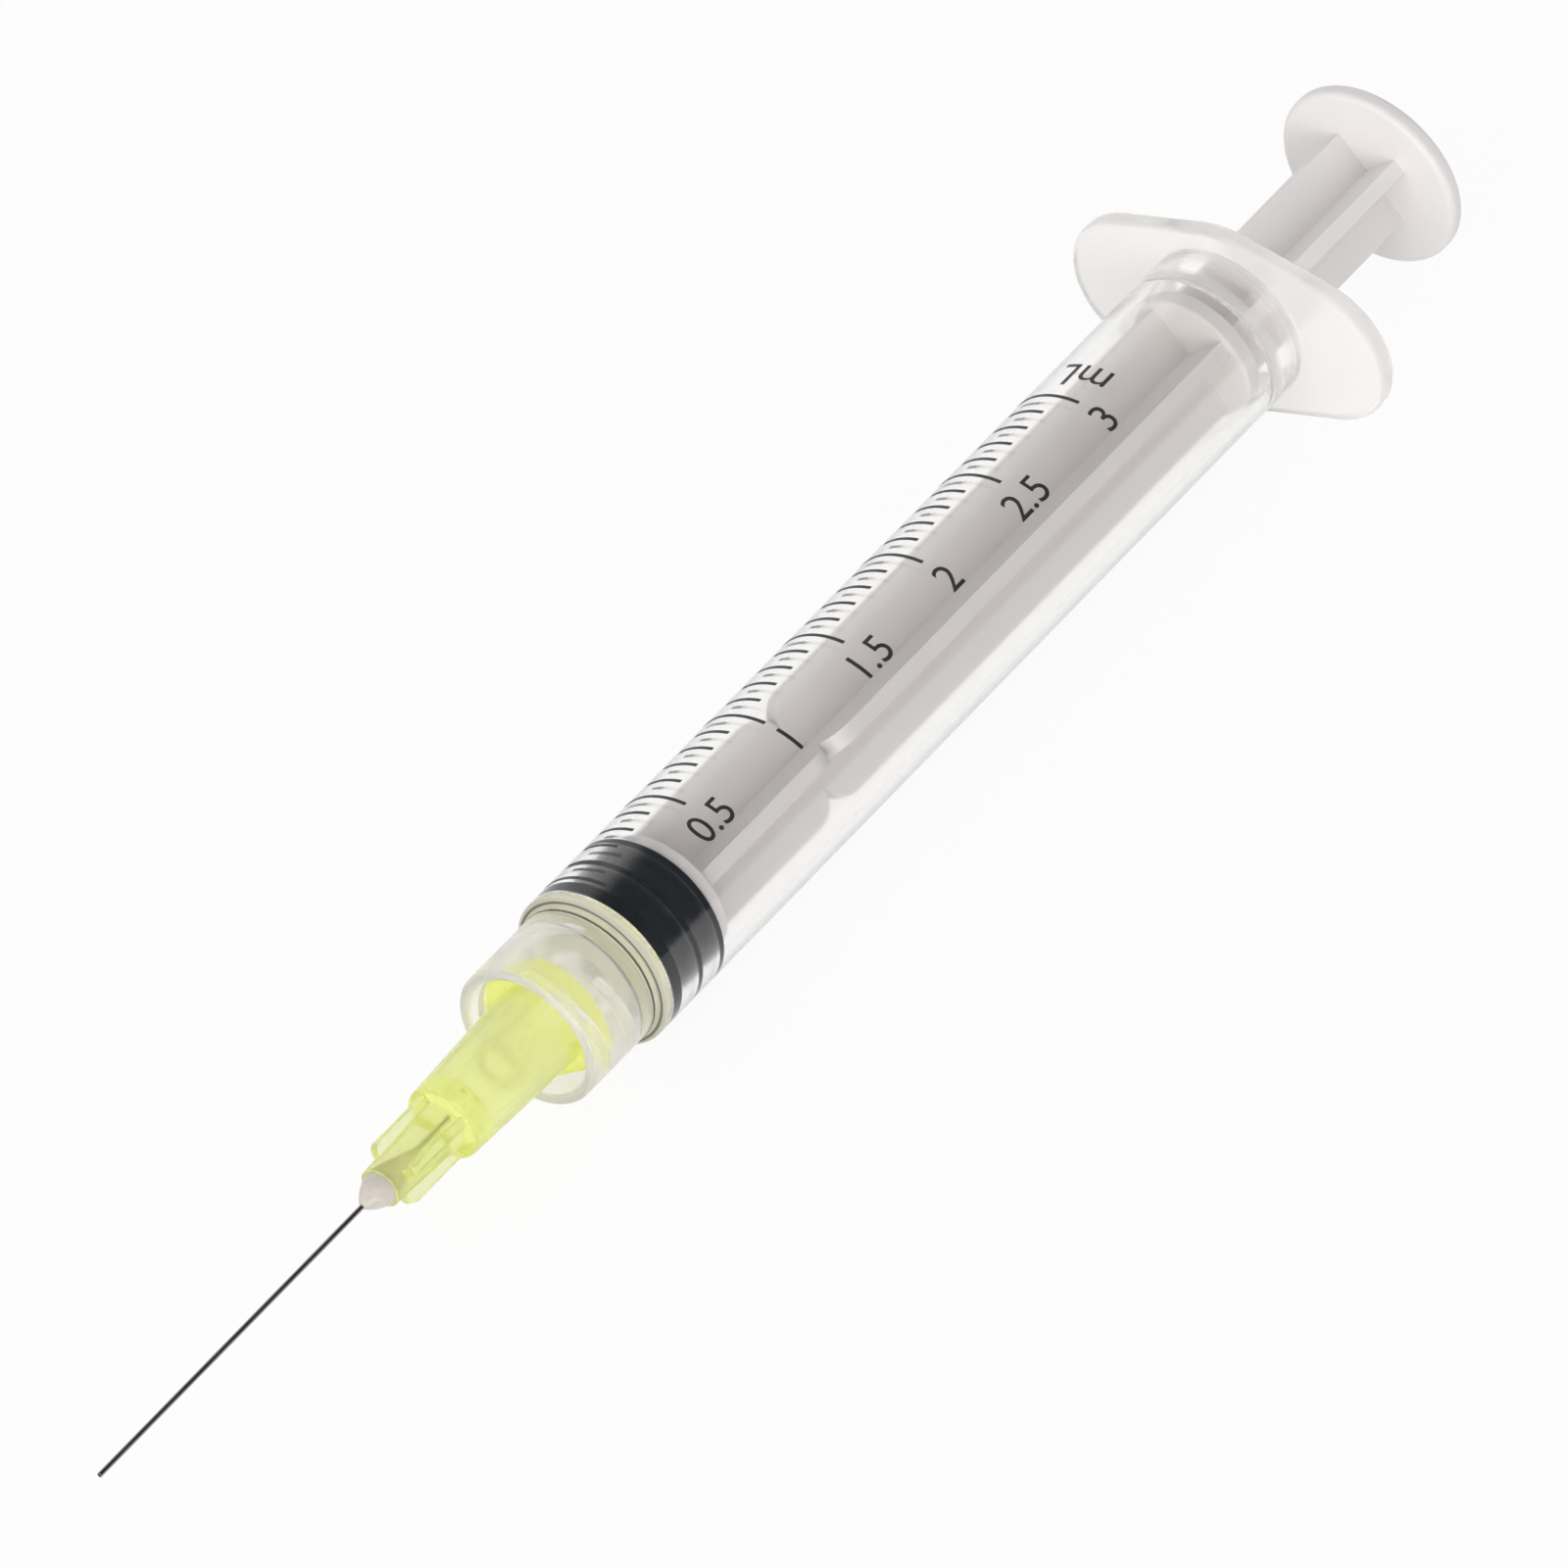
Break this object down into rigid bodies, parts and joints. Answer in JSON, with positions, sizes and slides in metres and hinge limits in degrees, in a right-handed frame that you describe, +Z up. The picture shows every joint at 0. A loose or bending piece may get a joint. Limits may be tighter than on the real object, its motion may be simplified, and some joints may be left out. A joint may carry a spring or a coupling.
{
  "type": "irrigation syringe",
  "caption": "Small lock-fit plastic syringe with a rubber-tipped plunger, winged finger flange and a fine blunt needle on a finned hub, for rinsing narrow canals.",
  "frame": {"origin": "on the barrel's axis, in the plane of the finger flange's front face", "axes": "+X along the axis towards the thumb rest, needle to -X; the flange's wings point to -Y and +Y; +Z up as it lies"},
  "size_m": [0.1274, 0.022, 0.013],
  "materials": {
    "clear_barrel": "translucent moulded polypropylene, satin gloss",
    "black_rubber": "lubricated black rubber",
    "white_rod": "milky moulded polypropylene",
    "lime_hub": "clear lime plastic",
    "set_adhesive": "glossy pale adhesive",
    "needle_steel": "drawn stainless steel"
  },
  "bodies": {
    "barrel": {"barrel": "clear_barrel"},
    "stopper": {"stopper": "black_rubber"},
    "rod": {"plunger_rod": "white_rod"},
    "needle": {"needle_hub": "lime_hub", "needle_glue": "set_adhesive", "cannula": "needle_steel"}
  },
  "joints": [
    {"name": "plunger_slide", "type": "slide", "parent": "barrel", "child": "stopper", "axis": [1, 0, 0], "range_m": [0, 0.0549]},
    {"name": "rod_spin", "type": "hinge", "parent": "stopper", "child": "rod", "pos_m": [-0.0592, 0, 0], "axis": [1, 0, 0], "continuous": true},
    {"name": "needle_pull", "type": "slide", "parent": "barrel", "child": "needle", "axis": [-1, 0, 0], "range_m": [0, 0.012]}
  ]
}
